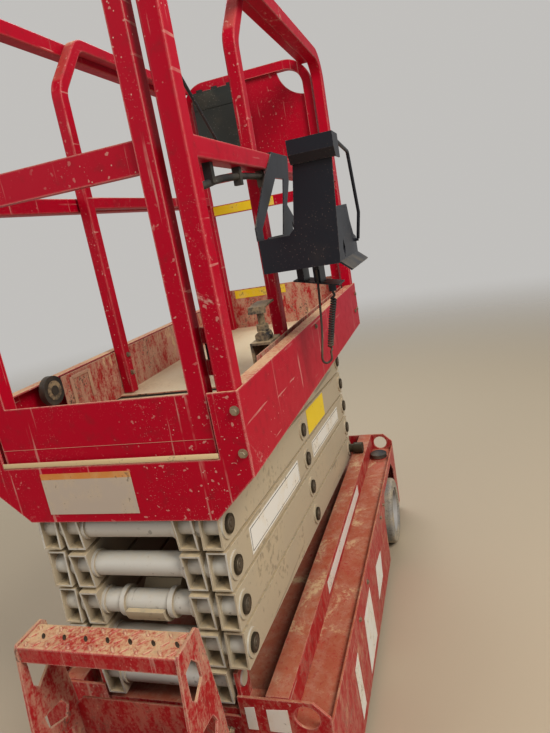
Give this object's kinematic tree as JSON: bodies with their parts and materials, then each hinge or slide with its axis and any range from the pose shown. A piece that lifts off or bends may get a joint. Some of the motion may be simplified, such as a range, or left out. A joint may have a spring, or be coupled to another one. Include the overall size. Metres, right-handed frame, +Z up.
{
  "type": "scissor lift",
  "caption": "Compact electric scissor lift, stowed, with guard rails, roll-out deck, swing gate, entry ladder and steered front wheels.",
  "frame": {"origin": "on the floor, under the middle of the bounding box; the machine's centre plane lies at y = +0.050 because the control tray stands out on the right", "axes": "+X forward, away from the entry ladder and gate; +Y to the machine's left; +Z up"},
  "size_m": [1.648, 0.862, 1.888],
  "materials": {
    "base_red": "worn dusty satin",
    "power_unit": "satin",
    "bare_steel": "dull",
    "tyre": "worn grey",
    "rim": "satin",
    "stack_grey": "satin",
    "piston_chrome": "polished",
    "platform_red": "worn gloss",
    "deck_metal": "dusty matte",
    "black_steel": "satin black",
    "dark_plastic": "matte"
  },
  "bodies": {
    "base": {"chassis_pan": "base_red", "roller_rails": "base_red", "side_wall_left": "base_red", "side_wall_right": "base_red", "end_plate_rear": "base_red", "end_plate_front": "base_red", "base_hinge": "base_red", "power_block": "power_unit", "ladder_sides": "base_red", "ladder_treads": "base_red", "ladder_back": "base_red", "rear_axle": "bare_steel", "front_beam": "base_red"},
    "knuckle_left": {"knuckle_left": "bare_steel"},
    "knuckle_right": {"knuckle_right": "bare_steel"},
    "wheel_front_left": {"tyre_front_left": "tyre", "rim_front_left": "rim"},
    "wheel_front_right": {"tyre_front_right": "tyre", "rim_front_right": "rim"},
    "wheel_rear_left": {"tyre_rear_left": "tyre", "rim_rear_left": "rim"},
    "wheel_rear_right": {"tyre_rear_right": "tyre", "rim_rear_right": "rim"},
    "inner_1": {"inner_arms_1": "stack_grey"},
    "outer_1": {"outer_arms_1": "stack_grey", "lower_roller_axle": "bare_steel"},
    "inner_2": {"inner_arms_2": "stack_grey"},
    "outer_2": {"outer_arms_2": "stack_grey"},
    "inner_3": {"inner_arms_3": "stack_grey"},
    "outer_3": {"outer_arms_3": "stack_grey"},
    "inner_4": {"inner_arms_4": "stack_grey"},
    "outer_4": {"outer_arms_4": "stack_grey"},
    "inner_5": {"inner_arms_5": "stack_grey", "upper_rollers": "bare_steel"},
    "outer_5": {"outer_arms_5": "stack_grey"},
    "barrel": {"lift_barrel": "stack_grey"},
    "rod": {"lift_rod": "piston_chrome"},
    "platform": {"platform_deck": "deck_metal", "platform_hinge": "platform_red", "platform_skirts": "platform_red", "rear_plate": "platform_red", "side_rail_left": "platform_red", "side_rail_right": "platform_red", "gate_hinges": "black_steel", "deck_pads": "dark_plastic", "control_tray": "black_steel", "cord_lead": "dark_plastic", "cord_curl": "dark_plastic", "harness": "dark_plastic"},
    "gate": {"gate_frame": "platform_red"},
    "extension": {"extension_deck": "deck_metal", "extension_rail_left": "platform_red", "extension_rail_right": "platform_red", "front_frame": "platform_red", "front_sheet": "platform_red", "document_box": "dark_plastic", "foot_pedal": "black_steel"}
  },
  "joints": [
    {"name": "lift", "type": "hinge", "parent": "base", "child": "inner_1", "pos_m": [-0.59, 0.05, 0.377], "axis": [0, -1, 0], "range_deg": [0, 57.63]},
    {"name": "outer_1_pivot", "type": "hinge", "parent": "inner_1", "child": "outer_1", "pos_m": [0.01823, 0.05, 0.4235], "axis": [0, -1, 0], "range_deg": [-115.31, 0]},
    {"name": "outer_2_pivot", "type": "hinge", "parent": "inner_1", "child": "outer_2", "pos_m": [0.62645, 0.05, 0.47], "axis": [0, -1, 0], "range_deg": [-115.31, 0]},
    {"name": "inner_2_pivot", "type": "hinge", "parent": "outer_2", "child": "inner_2", "pos_m": [0.01823, 0.05, 0.5165], "axis": [0, -1, 0], "range_deg": [0, 115.31]},
    {"name": "outer_3_pivot", "type": "hinge", "parent": "inner_2", "child": "outer_3", "pos_m": [0.62645, 0.05, 0.563], "axis": [0, -1, 0], "range_deg": [-115.31, 0]},
    {"name": "inner_3_pivot", "type": "hinge", "parent": "outer_3", "child": "inner_3", "pos_m": [0.01823, 0.05, 0.6095], "axis": [0, -1, 0], "range_deg": [0, 115.31]},
    {"name": "outer_4_pivot", "type": "hinge", "parent": "inner_3", "child": "outer_4", "pos_m": [0.62645, 0.05, 0.656], "axis": [0, -1, 0], "range_deg": [-115.31, 0]},
    {"name": "inner_4_pivot", "type": "hinge", "parent": "outer_4", "child": "inner_4", "pos_m": [0.01823, 0.05, 0.7025], "axis": [0, -1, 0], "range_deg": [0, 115.31]},
    {"name": "outer_5_pivot", "type": "hinge", "parent": "inner_4", "child": "outer_5", "pos_m": [0.62645, 0.05, 0.749], "axis": [0, -1, 0], "range_deg": [-115.31, 0]},
    {"name": "inner_5_pivot", "type": "hinge", "parent": "outer_5", "child": "inner_5", "pos_m": [0.01823, 0.05, 0.7955], "axis": [0, -1, 0], "range_deg": [0, 115.31]},
    {"name": "platform_pivot", "type": "hinge", "parent": "outer_5", "child": "platform", "pos_m": [-0.59, 0.05, 0.842], "axis": [0, -1, 0], "range_deg": [0, 57.68]},
    {"name": "barrel_pivot", "type": "hinge", "parent": "outer_1", "child": "barrel", "pos_m": [0.62645, 0.05, 0.377], "axis": [0, -1, 0], "range_deg": [-8.84, 0]},
    {"name": "rod_slide", "type": "slide", "parent": "barrel", "child": "rod", "axis": [-0.9885, 0, 0.1511], "range_m": [0, 0.9991]},
    {"name": "steer_left", "type": "hinge", "parent": "base", "child": "knuckle_left", "pos_m": [0.563, 0.3, 0.127], "axis": [0, 0, 1], "range_deg": [-85, 85]},
    {"name": "steer_right", "type": "hinge", "parent": "base", "child": "knuckle_right", "pos_m": [0.563, -0.2, 0.127], "axis": [0, 0, 1], "range_deg": [-85, 85]},
    {"name": "spin_front_left", "type": "hinge", "parent": "knuckle_left", "child": "wheel_front_left", "pos_m": [0.563, 0.391, 0.127], "axis": [0, 1, 0], "continuous": true},
    {"name": "spin_rear_left", "type": "hinge", "parent": "base", "child": "wheel_rear_left", "pos_m": [-0.412, 0.36, 0.127], "axis": [0, 1, 0], "continuous": true},
    {"name": "spin_front_right", "type": "hinge", "parent": "knuckle_right", "child": "wheel_front_right", "pos_m": [0.563, -0.291, 0.127], "axis": [0, 1, 0], "continuous": true},
    {"name": "spin_rear_right", "type": "hinge", "parent": "base", "child": "wheel_rear_right", "pos_m": [-0.412, -0.26, 0.127], "axis": [0, 1, 0], "continuous": true},
    {"name": "gate_swing", "type": "hinge", "parent": "platform", "child": "gate", "pos_m": [-0.591, -0.2045, 1.4], "axis": [0, 0, -1], "range_deg": [0, 70], "stiffness_Nm_per_rad": 2, "springref_deg": -17.19},
    {"name": "deck_slide", "type": "slide", "parent": "platform", "child": "extension", "axis": [1, 0, 0], "range_m": [0, 0.51]}
  ],
  "couplings": [
    {"joint": "outer_1_pivot", "follows": "lift", "ratio": -2},
    {"joint": "outer_2_pivot", "follows": "lift", "ratio": -2},
    {"joint": "inner_2_pivot", "follows": "lift", "ratio": 2},
    {"joint": "outer_3_pivot", "follows": "lift", "ratio": -2},
    {"joint": "inner_3_pivot", "follows": "lift", "ratio": 2},
    {"joint": "outer_4_pivot", "follows": "lift", "ratio": -2},
    {"joint": "inner_4_pivot", "follows": "lift", "ratio": 2},
    {"joint": "outer_5_pivot", "follows": "lift", "ratio": -2},
    {"joint": "inner_5_pivot", "follows": "lift", "ratio": 2},
    {"joint": "platform_pivot", "follows": "lift", "ratio": 1},
    {"joint": "barrel_pivot", "follows": "lift", "ratio": -0.15254},
    {"joint": "rod_slide", "follows": "lift", "m_per_rad": 0.99288},
    {"joint": "steer_right", "follows": "steer_left", "ratio": 1}
  ]
}
